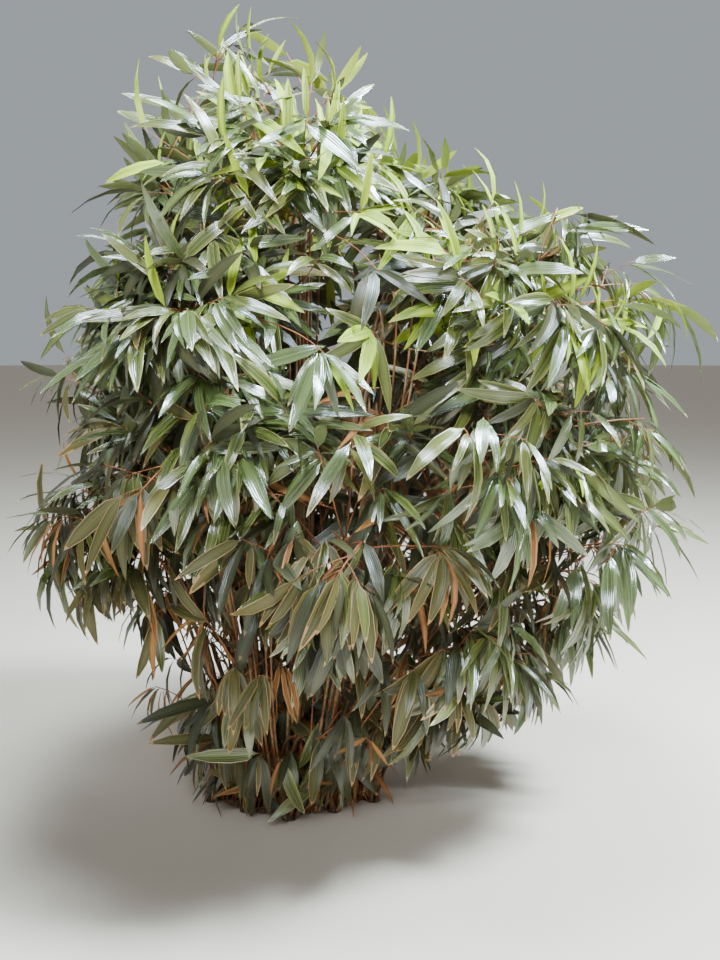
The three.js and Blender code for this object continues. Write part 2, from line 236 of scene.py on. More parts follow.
# Dry sheaths at the feet of twigs and of canes
TWIG_SHEATH = dict(lengths=(0.06, 0.12), width=0.011, fold=0.7, facing_up=0.3, forward=1.5, hang=0.8)
TWIG_SHEATH_SHARE = 0.5
TWIG_SHEATH_AT = 0.2
BASAL_SHEATHS = 5
BASAL_SHEATH = dict(lengths=(0.06, 0.15), widths=(0.014, 0.022), leans=(0.1, 0.7), out=0.01, down=0.03)

# A leaf's stations from its stalk to its tip, with its half width at each as a share of the widest
STATIONS = np.array((0.0, 0.045, 0.18, 0.42, 0.69, 0.92, 1.0))
HALF_WIDTHS = np.array((0.07, 0.11, 0.83, 1.0, 0.83, 0.3, 0.0))

# Across a leaf. Its fold is steepest at the rib and eases towards the margin.
RIB_HALF_WIDTH = 0.0008
WIDEST_RIB = 0.3
MID_BLADE = 0.52
EDGE_WIDTH = 0.002
INNERMOST_EDGE = 0.7
BLADE_THICKNESS = 0.0006
FOLD_AT_RIB = 1.35
FOLD_EASES = 0.6

# Where the columns of a leaf's pattern lie across it, from 0 to 1
BLADE_ACROSS = (0.24, 0.48, 0.52, 0.76)
EDGES_ACROSS = (0.06, 0.94)

# Colours of each kind of leaf: three tints of the blade, then its underside, rib, edge and dry tip
LOOK_PARTS = ("blade_1", "blade_2", "blade_3", "under", "rib", "edge", "tip")
LEAF_LOOKS = {
    "green": ("#596029", "#465020", "#686d30", "#767a45", "#727639", "#978b50", "#ab975e"),
    # Pale leaves: a greyer, bluer green of their own that also paints a silvery sheen where light falls
    "pale": ("#566233", "#62703d", "#495728", "#727c4b", "#747f49", "#858556", "#b1a374"),
    # Young leaves: a lime of their own that also paints the glow of leaves lit from behind
    "young": ("#93a61f", "#a6b832", "#7b8e1b", "#a5b13f", "#acb746", "#a9a644", "#a89c56"),
    # Dark leaves: painted shade, a darker olive dealt out most where shade falls, inside, low down and on
    # the left
    "dark": ("#3e3f26", "#33351e", "#4a482b", "#55533a", "#4a492d", "#625939", "#806a44"),
    "weathered": ("#545126", "#46441f", "#625a2b", "#665d38", "#6a6032", "#a07c4b", "#b08752"),
    "dry": ("#9e693a", "#825331", "#ad7c46", "#8c633c", "#9e7044", "#986f40", "#7a5436"),
}
LEAF_SLOTS = {
    "green": "leaf_green",
    "pale": "leaf_green",
    "young": "leaf_young",
    "dark": "leaf_dark",
    "weathered": "leaf_weathered",
    "dry": "leaf_dry",
}
LEAF_ROUGHNESS = {"green": 0.22, "pale": 0.18, "young": 0.5, "dark": 0.34, "weathered": 0.42, "dry": 0.8}
LEAF_GLOSS = {"green": 1.0, "pale": 1.0, "young": 0.4, "dark": 0.6, "weathered": 0.5, "dry": 0.3}
LEAF_IOR = {"green": 1.62, "pale": 1.8, "young": 1.5, "dark": 1.5, "weathered": 1.5, "dry": 1.5}
VEINS = {"Scale": 2.2, "Distortion": 0.6}
VEIN_RELIEF = {"Strength": 0.6, "Distance": 0.001}

# The kinds whose leaves have a separate margin, and the share of them on which it has dried
DRY_MARGINS = {"green": 0.6, "weathered": 0.8}

# The share of each kind's leaves whose tips have dried, and of those, the share that dried further in
DRY_TIPS = {"green": 0.4, "pale": 0.35, "young": 0.1, "dark": 0.4, "weathered": 0.85, "dry": 0.0}
LONG_DRY_TIPS = 0.12

# The left side lies in shade. The upper right is sunny, and most young leaves are there, their lime also
# painting the glow of leaves lit from behind.
LEFTWARDS = -0.15
SUNNY_ABOVE = 1.5

# The kinds that sprays bear at the outside, above a share of the clump's height and rightwards from an x.
# The first row that fits counts.
FURTHEST_LEFT = -math.inf
# Dark leaves, as painted shade, gather low down and on the shaded left; pale leaves, with their painted
# sheen, on the lit right
KINDS_OUTSIDE = (
    (0.6, LEFTWARDS, dict(young=0.16, pale=0.42, green=0.38, dark=0.04)),
    (0.6, FURTHEST_LEFT, dict(young=0.03, pale=0.25, green=0.56, dark=0.16)),
    (0.4, 0.6, dict(young=0.05, pale=0.63, green=0.3, dark=0.02)),
    (0.4, LEFTWARDS, dict(pale=0.5, green=0.36, dark=0.1, weathered=0.04)),
    (0.4, FURTHEST_LEFT, dict(pale=0.2, green=0.42, dark=0.2, weathered=0.18)),
    (0.2, 0.5, dict(pale=0.42, green=0.46, weathered=0.1, dark=0.02)),
    (0.2, LEFTWARDS, dict(green=0.18, weathered=0.4, dark=0.4, dry=0.02)),
    (0.2, FURTHEST_LEFT, dict(weathered=0.42, dark=0.36, green=0.08, dry=0.14)),
    (0, FURTHEST_LEFT, dict(weathered=0.14, dark=0.78, dry=0.08)),
)
# At the top many leaves are young, their lime also painting backlit glow
KINDS_AT_TOP = dict(young=0.35, green=0.55, pale=0.1)

# Deep inside, by the share of the outline's reach, leaves are dark as painted shade, and low down many are
# dry
INSIDE = 0.58
KINDS_INSIDE = dict(dark=0.8, weathered=0.2)
INSIDE_LOW_DOWN = 0.64
LOW_DOWN = 0.54
KINDS_INSIDE_LOW_DOWN = dict(dark=0.54, weathered=0.2, dry=0.26)

# A share of the leaves of a spray are of another kind, and a few low down are dry, most on the left
OTHER_KIND_SHARE = 0.3
OTHER_KINDS = {
    "green": ("dark", "pale"),
    "pale": ("green", "young"),
    "young": ("green", "pale"),
    "dark": ("green", "weathered"),
    "weathered": ("dark", "green"),
    "dry": ("weathered", "dark"),
}
DRY_LEAF_SHARE = 0.04
DRIER_LEFTWARDS = 3
DRY_LEAVES_BELOW = 1.2

# Canes. CANE_PROFILE is one internode: the shares of its length, and how wide it is there.
CANE_SIDES = 6
TWIG_SIDES = 4
CANE_FOOT_RADIUS = 0.007
CANE_TOP_RADIUS = 0.005
INTERNODE = 0.15
CANE_PROFILE = ((0.0, 1.0), (0.03, 1.28), (0.07, 0.98), (0.5, 0.94), (0.93, 0.97), (0.985, 1.16))

# Sheaths that clasp an internode, and the share of internodes that have none
BARE_INTERNODES = 0.25
CLASP_FROM = 0.03
CLASP_ENDS = (0.5, 0.9)
CLASP_PROFILE = (1.0, 1.07, 1.1, 1.24)

# Thinner canes beside each culm, and how far from it they run
COMPANIONS = 3
COMPANION = dict(feet=(0.016, 0.024), bends=(0.02, 0.09), ends=(0.03, 0.1), end_at=0.9)
THINNER_FOOT = 0.7
THINNER_TOP = 0.5
THINNER_FOOT_HEIGHT = 0.004

# Thinner canes that rise through each hollow, spread out a little
HOLLOW_CANES = 4
HOLLOW_CANE = dict(aside=0.07, behind=0.26, feet=(0.12, 0.2), rises=(0.14, 0.24), at=0.7)
SPREAD_AT_FOOT = 0.5
SPREAD_AT_END = 1.4

# The crown's knuckles and the rhizomes between them, both ringed
CROWN_SIDES = 12
KNUCKLE_RINGS = 8
KNUCKLE_RADIUS = 0.0085
KNUCKLE_FLARE = 0.016
FLARE_CURVE = 1.7
RING_RIDGE = 0.0012
RHIZOME_STEPS = 10
RHIZOME_RADII = (0.0115, 0.0135)
FURTHER_IN = 0.001

# Soft studio light: each lamp's name, place, aim, size, spread in degrees, power and colour
LAMPS = (
    ("key", (3.7, -0.8, 5.6), (0.3, 0, 1.2), 1.2, 180, 1750, (0.66, 0.82, 1.0)),
    ("overhead", (0.0, -0.2, 6.4), (0.2, 0, 1.2), 1.8, 180, 720, (0.66, 0.83, 1.0)),
    ("front", (-0.6, -5.0, 4.4), (0.35, 0, 2.0), 1.4, 42, 50, (0.78, 0.88, 1.0)),
)


def seeded_numbers(seed):
    """A seeded row of numbers from 0 to 1, the same as in the solids."""
    multiplier, modulus, warm_up = 48271, 2147483647, 5
    state = seed
    for _ in range(warm_up):
        state = state * multiplier % modulus
    while True:
        state = state * multiplier % modulus
        yield state / modulus


def lerp(low, high, share):
    return low + (high - low) * share


def between(limits, number):
    """A seeded value between two limits."""
    return lerp(*limits, next(number))


def swing(width, number):
    """A seeded value up to half a width to either side of nought."""
    return width * (next(number) - 0.5)


def leaning(width, number):
    """As swing, but a little further above nought than below it."""
    return width * (next(number) - 0.4)


def even_shares(steps):
    """The shares from 0 to 1 in even steps."""
    return [k / steps for k in range(steps + 1)]


def outline_at(height):
    """The middle, half-width and half-depth of the outline at a height."""
    left, right, depth = (np.interp(height, OUTLINE[:, 0], OUTLINE[:, k]) for k in (1, 2, 3))
    return (right - left) / 2, (right + left) / 2, depth


def outline_share(point):
    """How far out a point lies from the clump's middle line, as a share of the outline's reach there."""
    middle, half_width, half_depth = outline_at(point.z)
    return math.hypot((point.x - middle) / half_width, point.y / half_depth)


def point_at(out, across, share, height):
    """The point at a height, a share of the outline's reach out from the middle in a direction."""
    middle, half_width, half_depth = outline_at(height)
    return Vector((middle + out * half_width * share, across * half_depth * share, height))


def is_in_box(point):
    """Inside the solids' own box with a little room, and above the ground."""
    if point.z < GROUND_ROOM:
        return False
    return all(cad_low[k] - BOX_ROOM < point[k] < cad_high[k] + BOX_ROOM for k in range(3))


class Curve:
    """A curve of three control points."""

    def __init__(self, start, bend, end):
        self.start, self.bend, self.end = start, bend, end

    def point(self, at):
        rest = 1 - at
        return self.start * (rest * rest) + self.bend * (2 * rest * at) + self.end * (at * at)

    def tangent(self, at):
        along = (self.bend - self.start) * (1 - at) + (self.end - self.bend) * at
        return along.normalized()

    def length(self):
        points = [self.point(at) for at in even_shares(16)]
        return sum((b - a).length for a, b in zip(points, points[1:]))


def culm_curve(tier, index):
    """The curve of a culm and of the stem that carries it on, as in the solids."""
    number = seeded_numbers(round(tier["tip"] * 1000) + index)
    azimuth = math.radians(tier["first"] + 360 * index / tier["culms"])
    out, across = math.cos(azimuth), math.sin(azimuth)
    height = tier["tip"] + tier["spread"] * (2 * next(number) - 1)
    ring = tier["ring"]
    foot = Vector((out * CROWN_RADIUS * ring, across * CROWN_DEPTH * ring, KNUCKLE_HEIGHT + CLEARANCE))
    tip = point_at(out, across, tier["reach"], height)
    bend = foot.lerp(tip, BEND_OUT)
    bend.z = height * BEND_UP
    return Curve(foot, bend, tip)


def all_culms():
    """Every culm of the clump, with the point that its mass of foliage gathers round."""
    culms = []
    for ring, tier in enumerate(TIERS):
        for index in range(tier["culms"]):
            curve = culm_curve(tier, index)
            culm = dict(name=f"{tier['name']}_{index + 1}", tier=tier["name"], curve=curve)
            culm["seed"] = 100 * (ring + 1) + index
            culm["site"] = curve.point(SITE_AT)
            culms.append(culm)
    return culms


CULMS = all_culms()
SITES = np.array([culm["site"] for culm in CULMS])


def depth_in_cell(point, culm):
    """How deep inside a mass's own space a point lies. It is negative outside that space."""
    own = np.array(culm["site"])
    apart = SITES - own
    lengths = np.linalg.norm(apart, axis=1)
    others = lengths > 1e-6
    along = (apart[others] @ (np.array(point) - own)) / lengths[others]
    return float((lengths[others] / 2 - CELL_GAP / 2 - along).min())


def entry_of(culm):
    """Where along its curve a culm enters its own mass for good, as in the solids."""
    steps, earliest = 100, 40
    entry = steps
    while entry > earliest:
        if depth_in_cell(culm["curve"].point((entry - 1) / steps), culm) < STEM_MARGIN:
            break
        entry -= 1
    return entry / steps


for each in CULMS:
    each["entry"] = entry_of(each)


def linear(code):
    """A linear colour from a web colour code."""
    values = [int(code[i : i + 2], 16) / 255 for i in (1, 3, 5)]
    return [v / 12.92 if v <= 0.04045 else ((v + 0.055) / 1.055) ** 2.4 for v in values] + [1]


def new_material(name, colour, roughness):
    material = bpy.data.materials.new(name)
    material.use_nodes = True
    shader = material.node_tree.nodes["Principled BSDF"]
    shader.inputs["Base Color"].default_value = linear(colour)
    shader.inputs["Roughness"].default_value = roughness
    return material, shader


def add_node(material, kind, inputs=()):
    """A node of a material, with constant values on some of its inputs."""
    node = material.node_tree.nodes.new(f"ShaderNode{kind}")
    for name, value in dict(inputs).items():
        node.inputs[name].default_value = value
    return node


def leaf_material(kind, part, colour):
    """A leaf's surface: waxy, with fine veins that run along the blade as relief."""
    material, shader = new_material(f"leaf_{kind}_{part}", colour, LEAF_ROUGHNESS[kind])
    shader.inputs["Specular IOR Level"].default_value = LEAF_GLOSS[kind]
    shader.inputs["IOR"].default_value = LEAF_IOR[kind]
    links = material.node_tree.links
    place = add_node(material, "UVMap")
    place.uv_map = "blade"
    veins = add_node(material, "TexWave", VEINS)
    relief = add_node(material, "Bump", VEIN_RELIEF)
    links.new(place.outputs["UV"], veins.inputs["Vector"])
    links.new(veins.outputs["Fac"], relief.inputs["Height"])
    links.new(relief.outputs["Normal"], shader.inputs["Normal"])
    return material


LEAF_MATERIALS = {
    kind: [leaf_material(kind, part, colour) for part, colour in zip(LOOK_PARTS, colours)]
    for kind, colours in LEAF_LOOKS.items()
}


def streaked_material(name, light, dark, roughness, scale, stretch):
    """Cane, sheath or crown: streaks between two colours, with fine relief."""
    material, shader = new_material(name, light, roughness)
    links = material.node_tree.links
    place = add_node(material, "TexCoord")
    shape = add_node(material, "Mapping", {"Scale": (scale, scale, scale * stretch)})
    noise = add_node(material, "TexNoise", {"Scale": 1, "Detail": 4})
    spread = add_node(material, "MapRange", {"From Min": 0.35, "From Max": 0.65})
    mix = add_node(material, "Mix")
    mix.data_type = "RGBA"
    mix.inputs["A"].default_value = linear(dark)
    mix.inputs["B"].default_value = linear(light)
    relief = add_node(material, "Bump", {"Strength": 0.5, "Distance": 0.0008})
    links.new(place.outputs["Object"], shape.inputs["Vector"])
    links.new(shape.outputs["Vector"], noise.inputs["Vector"])
    links.new(noise.outputs["Fac"], spread.inputs["Value"])
    links.new(spread.outputs["Result"], mix.inputs["Factor"])
    links.new(mix.outputs["Result"], shader.inputs["Base Color"])
    links.new(noise.outputs["Fac"], relief.inputs["Height"])
    links.new(relief.outputs["Normal"], shader.inputs["Normal"])
    return material


CANE = streaked_material("cane", "#9b6238", "#613c24", roughness=0.5, scale=160, stretch=0.06)
TWIG = streaked_material("twig", "#a96434", "#7c4828", roughness=0.6, scale=60, stretch=1)
SHEATH = streaked_material("sheath", "#a08056", "#6e5033", roughness=0.75, scale=220, stretch=0.08)
CROWN = streaked_material("crown", "#5f4934", "#35271b", roughness=0.9, scale=90, stretch=0.6)


def new_object(name, data):
    made = bpy.data.objects.new(name, data)
    bpy.context.collection.objects.link(made)
    return made


def mesh_object(name, vertices, faces, material):
    mesh = bpy.data.meshes.new(name)
    mesh.from_pydata(vertices, [], faces)
    mesh.materials.append(material)
    mesh.polygons.foreach_set("use_smooth", [True] * len(mesh.polygons))
    return new_object(name, mesh)


def dress(piece, slot, nodes=()):
    """Hands a piece to the frame: its body and the nodes that it stands for. Its slot is not used."""
    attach(piece, "root")
    if nodes:
        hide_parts(*nodes)


class Tubes:
    """Round limbs gathered into one mesh."""

    def __init__(self, sides):
        self.sides = sides
        self.vertices, self.faces = [], []

    def add(self, points, radii, closed=True):
        """A tube through points, with a radius at each, and with its ends capped if it is closed."""
        start, sides = len(self.vertices), self.sides
        side = None
        for i, (point, radius) in enumerate(zip(points, radii)):
            along = (points[min(i + 1, len(points) - 1)] - points[max(i - 1, 0)]).normalized()
            if side is None:
                side = along.orthogonal()
            side = (side - along * side.dot(along)).normalized()
            other = along.cross(side)
            for k in range(sides):
                turn = 2 * math.pi * k / sides
                offset = side * math.cos(turn) + other * math.sin(turn)
                self.vertices.append(point + offset * radius)
        for i in range(len(points) - 1):
            for k in range(sides):
                a, b = start + i * sides + k, start + i * sides + (k + 1) % sides
                self.faces.append((a, b, b + sides, a + sides))
        if closed:
            last = start + (len(points) - 1) * sides
            self.faces.append(tuple(start + k for k in reversed(range(sides))))
            self.faces.append(tuple(last + k for k in range(sides)))

    def add_along(self, curve, steps, foot_radius, tip_radius):
        """A tapering tube along a curve."""
        shares = even_shares(steps)
        radii = [lerp(foot_radius, tip_radius, at) for at in shares]
        self.add([curve.point(at) for at in shares], radii)

    def add_twig(self, foot, tip, foot_radius, tip_radius, sag):
        """A thin twig that bows by a share of its length."""
        curve = Curve(foot, (foot + tip) / 2 + UP * (sag * (tip - foot).length), tip)
        self.add_along(curve, 4, foot_radius, tip_radius)

    def add_shoot(self, foot, tip, aim):
        """A thin twig that bends round to end along its aim, where its leaves sit."""
        bend = tip - aim * min(SHOOT_END, (tip - foot).length / 2)
        bend.z = max(bend.z, foot.z)
        self.add_along(Curve(foot, bend, tip), 8, BRANCH_RADIUS, TWIG_TIP_RADIUS)

    def piece(self, name, material):
        return mesh_object(name, self.vertices, self.faces, material)


# What has grown in each ring's masses, and where sprays end or are left out
leaves_of = {tier["name"]: [] for tier in TIERS}
twigs_of = {tier["name"]: Tubes(TWIG_SIDES) for tier in TIERS}
spray_ends = []


def is_sunny(point):
    """On the sunny upper right."""
    return point.z > SUNNY_ABOVE and point.x > LEFTWARDS


def shares_of_kinds(point, tier):
    """The shares of the kinds of leaf, by a spray's height, its side and how far inside it lies."""
    high = point.z / OUTLINE[-1, 0]
    share = outline_share(point)
    if share < INSIDE_LOW_DOWN and high < LOW_DOWN:
        return KINDS_INSIDE_LOW_DOWN
    if share < INSIDE and tier not in ("top", "upper"):
        return KINDS_INSIDE
    if tier == "top":
        return KINDS_AT_TOP
    return next(kinds for above, left, kinds in KINDS_OUTSIDE if high > above and point.x >= left)


def kind_of_spray(point, tier, number):
    """The kind of leaf that a spray bears."""
    shares = shares_of_kinds(point, tier)
    draw = next(number)
    for kind, share in shares.items():
        draw -= share
        if draw <= 0:
            return kind
    return next(iter(shares))


def kind_of_leaf(kind, point, number):
    """The kind of one leaf of a spray: most often the spray's own."""
    draw = next(number)
    dry_share = DRY_LEAF_SHARE * (DRIER_LEFTWARDS if point.x < LEFTWARDS else 1)
    if draw < dry_share and point.z < DRY_LEAVES_BELOW:
        return "dry"
    if draw > 1 - OTHER_KIND_SHARE:
        other = OTHER_KINDS[kind][int(2 * next(number)) % 2]
        # Young leaves, whose lime also paints backlit glow, stay in the sun; in the shade they turn green
        return "green" if other == "young" and not is_sunny(point) else other
    return kind


def leaf_point(leaf, at):
    """The middle line of an arched leaf at a share of its length."""
    arch = leaf["arch"]
    along = math.sin(arch * at) / arch
    down = (1 - math.cos(arch * at)) / arch
    return leaf["foot"] + (leaf["direction"] * along - leaf["normal"] * down) * leaf["length"]


def leaf_fits(leaf):
    """Whether there is room for a leaf's middle and its tip."""
    points = [leaf_point(leaf, at) for at in (0.5, 1.0)]
    return all(is_in_box(point) and outline_share(point) < FURTHEST_LEAF for point in points)


def aimed(leaf, free_direction, hang):
    """A leaf along its free direction as far as its weight lets it, with its face turned outwards."""
    direction = (free_direction - UP * hang).normalized()
    normal = leaf["facing"] - direction * leaf["facing"].dot(direction)
    return {**leaf, "direction": direction, "normal": normal.normalized()}


def add_leaf(leaf, free_direction, hang, tier):
    """Adds a leaf if there is room for it, hanging less or a little smaller where there isn't."""
    for lighter in LIGHTER_TRIALS:
        trial = aimed(leaf, free_direction, hang * lighter)
        if leaf_fits(trial):
            leaves_of[tier].append(trial)
            return
    trial = aimed(leaf, free_direction, hang)
    trial["length"] *= CUT_LENGTH
    trial["width"] *= CUT_WIDTH
    if leaf_fits(trial):
        leaves_of[tier].append(trial)


def new_leaf(foot, facing, kind, number):
    """A leaf that is still to be aimed. tint and tip decide its looks."""
    length = LEAF_LENGTH * between(LENGTH_VARIES, number)
    shrunk = DRY_WIDTH if kind == "dry" else 1
    return dict(
        foot=foot,
        facing=facing,
        length=length,
        width=length * LEAF_SLENDERNESS * shrunk * between(WIDTH_VARIES, number),
        arch=between(LEAF_ARCHES, number),
        twist=swing(LEAF_TWIST, number),
        fold=between(LEAF_FOLDS, number) / shrunk,
        tint=int(3 * next(number)) % 3,
        tip=next(number),
        kind=kind,
    )


def stays_bare(tip, number):
    """Whether no twig ends here: in a hollow, or now and then on the far right or high up."""
    is_in_hollow = any((tip - Vector(centre)).length < radius for *centre, radius in HOLLOWS)
    is_airy = tip.x > AIRY_FROM and next(number) < AIRY_SHARE
    is_thin_top = next(number) < (tip.z - THIN_TOP_FROM) / THIN_TOP_DEPTH
    if is_in_hollow or is_airy or is_thin_top:
        spray_ends.append(tip)
        return True
    return False


def grow_spray_leaf(spray, share, hand, number):
    """One leaf of a spray, at a share of its leafy part and to one hand."""
    direction, side = spray["direction"], spray["side"]
    angle = lerp(*LEAF_ANGLES, share) * between(SLIGHTLY, number)
    own_side = Matrix.Rotation(swing(LEAF_ROLL, number), 3, direction) @ side
    free_direction = direction * math.cos(angle) + own_side * (hand * math.sin(angle))
    facing = spray["upper_side"] + side * swing(LEAF_TILT, number)
    kind = kind_of_leaf(spray["kind"], spray["tip"], number)
    foot = spray["foot"].lerp(spray["tip"], lerp(*LEAFY_PART, share))
    leaf = new_leaf(foot, facing, kind, number)
    leaf["arch"] = spray["arch"] * between(SLIGHTLY, number)
    own_hang = lerp(*HANG_ALONG, share) * between(HANG_VARIES, number)
    add_leaf(leaf, free_direction, spray["hang"] * own_hang, spray["tier"])


def grow_spray(foot, tip, direction, tier, number):
    """The leaves of one spray, on alternate sides of the outer part of a twig."""
    habit = HABITS[tier]
    level = (UP - direction * UP.dot(direction)).normalized()
    roll = Matrix.Rotation(swing(SPRAY_ROLL, number), 3, direction)
    outwards = Vector((tip.x, tip.y, 0)).normalized()
    spray_ends.append(tip)
    spray = dict(foot=foot, tip=tip, direction=direction, tier=tier)
    spray["side"] = roll @ direction.cross(level)
    spray["upper_side"] = roll @ (outwards + UP * FACING_UP)
    spray["kind"] = kind_of_spray(tip, tier, number)
    spray["arch"] = between(LEAF_ARCHES, number)
    fewest, most = habit["leaves"]
    count = fewest + int(next(number) * (most - fewest + 1))
    if outline_share(tip) < SPARSE_INSIDE:
        count = fewest
    spray["hang"] = LEAST_HANG + LEAF_WEIGHT * habit["droop"] * between(SPRAY_DROOPS, number)
    for i in range(count):
        hand = 1 if i % 2 == 0 else -1
        grow_spray_leaf(spray, i / (count - 1), hand, number)
    if next(number) < habit["shoots"] * (SHOOTS_IN_SUN if is_sunny(tip) else SHOOTS_IN_SHADE):
        grow_shoot(tip, direction, outwards, tier, number)


def grow_shoot(foot, direction, outwards, tier, number):
    """A young leaf that still stands up out of the middle of its spray."""
    form = UPRIGHT_LEAF
    free_direction = direction * form["forward"] + UP + outwards * leaning(form["outward"], number)
    leaf = new_leaf(foot, outwards + UP * form["facing_up"], "young", number)
    leaf["width"] *= form["narrower"]
    leaf["fold"] = form["fold"]
    leaf["tip"] = 1
    add_leaf(leaf, free_direction, 0, tier)


def grow_sheath(foot, direction, tier, number):
    """The dry sheath that still clasps the foot of a twig."""
    form = TWIG_SHEATH
    leaf = new_leaf(foot, Vector((foot.x, foot.y, form["facing_up"])), "dry", number)
    leaf["length"] = between(form["lengths"], number)
    leaf["width"] = form["width"]
    leaf["fold"] = form["fold"]
    add_leaf(leaf, direction * form["forward"], form["hang"] * next(number), tier)


def grow_basal_sheaths(foot, number):
    """Dry sheaths that stand round the foot of a cane and hide its knuckle."""
    form = BASAL_SHEATH
    turn = 2 * math.pi * next(number)
    for k in range(BASAL_SHEATHS):
        azimuth = turn + 2 * math.pi * k / BASAL_SHEATHS
        out = Vector((math.cos(azimuth), math.sin(azimuth), 0))
        leaf = new_leaf(foot + out * form["out"] - UP * form["down"], out, "dry", number)
        leaf["length"] = between(form["lengths"], number)
        leaf["width"] = between(form["widths"], number)
        add_leaf(leaf, UP + out * between(form["leans"], number), 0, "skirt")


def twig_fits(tip, furthest, culm):
    """Room for a twig's tip: in the box, in its mass's space, and short of the outline or a cleft."""
    depth = depth_in_cell(tip, culm)
    if not is_in_box(tip) or depth < -CELL_OVERLAP:
        return False
    nearness = min(max(1 - depth / CLEFT_WIDTH, 0), 1)
    return outline_share(tip) < furthest * (1 - CLEFT_SHARE * nearness)


def grow_side_twig(base, direction, hand, furthest, culm, number):
    """A side twig with its own spray, cut short or left out where there is no room for it."""
    across = Matrix.Rotation(swing(SIDE_TWIG_TURN, number), 3, direction) @ direction.cross(UP).normalized()
    aim = direction * math.cos(SIDE_TWIG_ANGLE) + across * (hand * math.sin(SIDE_TWIG_ANGLE))
    aim = (aim + UP * leaning(SIDE_TWIG_RISE, number)).normalized()
    tip = base + aim * (SIDE_TWIG_LENGTH * between(SIDE_TWIG_VARIES, number))
    if not twig_fits(tip, furthest, culm):
        tip = base + aim * SHORT_TWIG
    if not twig_fits(tip, furthest, culm) or stays_bare(tip, number):
        return
    twigs_of[culm["tier"]].add_twig(base, tip, TWIG_RADIUS, TWIG_TIP_RADIUS, SIDE_TWIG_SAG)
    grow_spray(base, tip, aim, culm["tier"], number)
    if next(number) < TWIG_SHEATH_SHARE:
        grow_sheath(base.lerp(tip, TWIG_SHEATH_AT), aim, culm["tier"], number)


def grow_branch(culm, index, count, first_turn, number):
    """One branch of a mass's stem, as long as its space allows, with its side twigs."""
    curve, tier = culm["curve"], culm["tier"]
    share = (index + 0.5) / count
    at = lerp(culm["entry"], 1, FIRST_BRANCH + BRANCH_SPAN * share)
    foot, along = curve.point(at), curve.tangent(at)
    aside = Vector((-along.y, along.x, 0)).normalized()
    aside = Matrix.Rotation(first_turn + GOLDEN_TURN * index, 3, along) @ aside
    direction = along * math.cos(BRANCH_ANGLE) + aside * math.sin(BRANCH_ANGLE)
    direction = (direction + UP * HABITS[tier]["lift"]).normalized()
    longest = between(BRANCH_VARIES, number)
    furthest = lerp(*HABITS[tier]["ends"], math.sqrt(next(number)))
    tips = (foot + direction * (reach * longest) for reach in BRANCH_REACHES)
    tip = next((trial for trial in tips if twig_fits(trial, furthest, culm)), None)
    if tip is None or stays_bare(tip, number):
        return
    twigs_of[tier].add_twig(foot, tip, BRANCH_RADIUS, TWIG_RADIUS, BRANCH_SAG)
    grow_spray(foot.lerp(tip, BRANCH_SPRAY_FROM), tip, direction, tier, number)
    grow_sheath(foot, direction, tier, number)
    for order, at in enumerate(SIDE_TWIG_AT):
        if at * (tip - foot).length > NEAREST_FORK:
            hand = 1 if order % 2 == 0 else -1
            grow_side_twig(foot.lerp(tip, at), direction, hand, furthest, culm, number)


def grow_mass(culm):
    """The stem that carries a culm on, its branches and their sprays."""
    number = seeded_numbers(MASS_SEED + culm["seed"])
    curve, entry, tier = culm["curve"], culm["entry"], culm["tier"]
    shares = even_shares(10)
    points = [curve.point(lerp(entry, 1, at)) for at in shares]
    twigs_of[tier].add(points, [lerp(CANE_TOP_RADIUS, STEM_TIP_RADIUS, at) for at in shares])
    first_turn = 2 * math.pi * next(number)
    count = HABITS[tier]["branches"]
    for index in range(count):
        grow_branch(culm, index, count, first_turn, number)
    grow_spray(curve.point(STEM_SPRAY_FROM), curve.point(1), curve.tangent(1), tier, number)


def grow_low_shoots():
    """Short leafy shoots round the foot, whose leaves hang to the ground and hide the canes."""
    number = seeded_numbers(LOW_SEED)
    for k in range(LOW_SHOOTS):
        azimuth = 2 * math.pi * (k + next(number)) / LOW_SHOOTS
        height = between(LOW_HEIGHTS, number)
        out, across = math.cos(azimuth), math.sin(azimuth)
        share = between(LOW_REACHES, number)
        if out > RIGHTWARDS:
            share *= SHORTER_RIGHTWARDS
        tip = point_at(out, across, share, height)
        foot_x, foot_y = out * CROWN_RADIUS * LOW_FOOT, across * CROWN_DEPTH * LOW_FOOT
        foot = Vector((foot_x, foot_y, LOW_FOOT_HEIGHT))
        outwards = Vector((out, across, 0))
        aim = (outwards + UP * between(LOW_RISES, number)).normalized()
        twigs_of["skirt"].add_shoot(foot, tip, aim)
        grow_spray(tip - aim * LOW_SPRAY, tip, aim, "skirt", number)


def bare_places(number):
    """Places just inside the outline that no spray is near yet, spread evenly over it."""
    ends = [tuple(end) for end in spray_ends]
    for k in range(BARE_TRIALS):
        height = lerp(*BARE_HEIGHTS, (k + 0.5) / BARE_TRIALS)
        share = between(BARE_REACHES, number)
        place = point_at(math.cos(GOLDEN_TURN * k), math.sin(GOLDEN_TURN * k), share, height)
        if min(math.dist(place, end) for end in ends) < BARE_ROOM:
            continue
        ends.append(tuple(place))
        yield place


def fill_bare_places():
    """A branch with its spray for each bare place, from the stem of the mass whose space it is in."""
    number = seeded_numbers(BARE_SEED)
    for place in bare_places(number):
        culm = max(CULMS, key=lambda each: depth_in_cell(place, each))
        curve, tier = culm["curve"], culm["tier"]
        feet = [curve.point(lerp(culm["entry"], LAST_FORK, at)) for at in even_shares(12)]
        foot = min(feet, key=lambda point: abs((point - place).length - RISING_TWIG))
        direction = (place - foot).normalized()
        outwards = Vector((place.x, place.y, 0)).normalized()
        aim = (direction + outwards * BARE_LEAN + UP * HABITS[tier]["lift"]).normalized()
        twigs_of[tier].add_shoot(foot, place, aim)
        grow_spray(place - aim * BARE_SPRAY, place, aim, tier, number)


